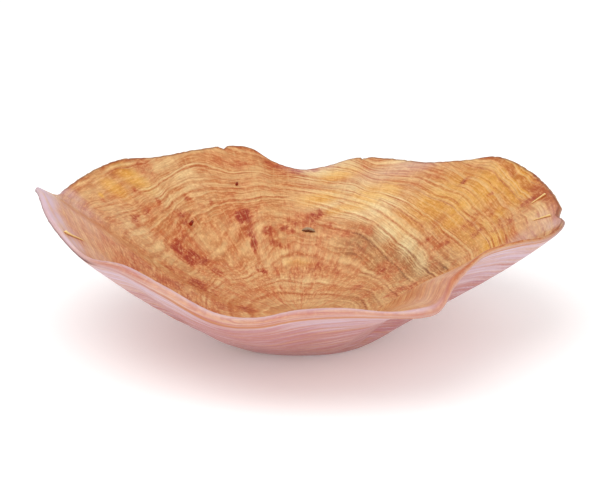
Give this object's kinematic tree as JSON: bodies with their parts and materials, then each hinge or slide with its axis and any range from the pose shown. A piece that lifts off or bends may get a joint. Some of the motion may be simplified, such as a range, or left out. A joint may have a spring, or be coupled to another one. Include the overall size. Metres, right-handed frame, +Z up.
{
  "type": "wooden bowl",
  "caption": "Free-form carved root-wood bowl: thin waving walls, a curled lip, chipped edge, filled checks and knots, flat foot.",
  "frame": {"origin": "middle of the flat foot, on the surface that it stands on", "axes": "+X to the right-hand tip of the rim as pictured, +Y away from the pictured front, +Z up out of the bowl"},
  "size_m": [0.3984, 0.3158, 0.1207],
  "materials": {
    "root_wood": "clear satin lacquer over sanded root wood",
    "pale_filler": "wood-dust filler sanded flush under lacquer",
    "grey_filler": "grey filler sanded flush under lacquer",
    "dark_knot": "dark pin knot sanded flush under lacquer"
  },
  "bodies": {
    "root": {"bowl": "root_wood", "fill_check_left": "pale_filler", "fill_check_right_upper": "pale_filler", "fill_check_right_lower": "pale_filler", "fill_bark_pocket": "grey_filler", "fill_knot_left": "dark_knot", "fill_knot_back": "dark_knot"}
  },
  "joints": []
}
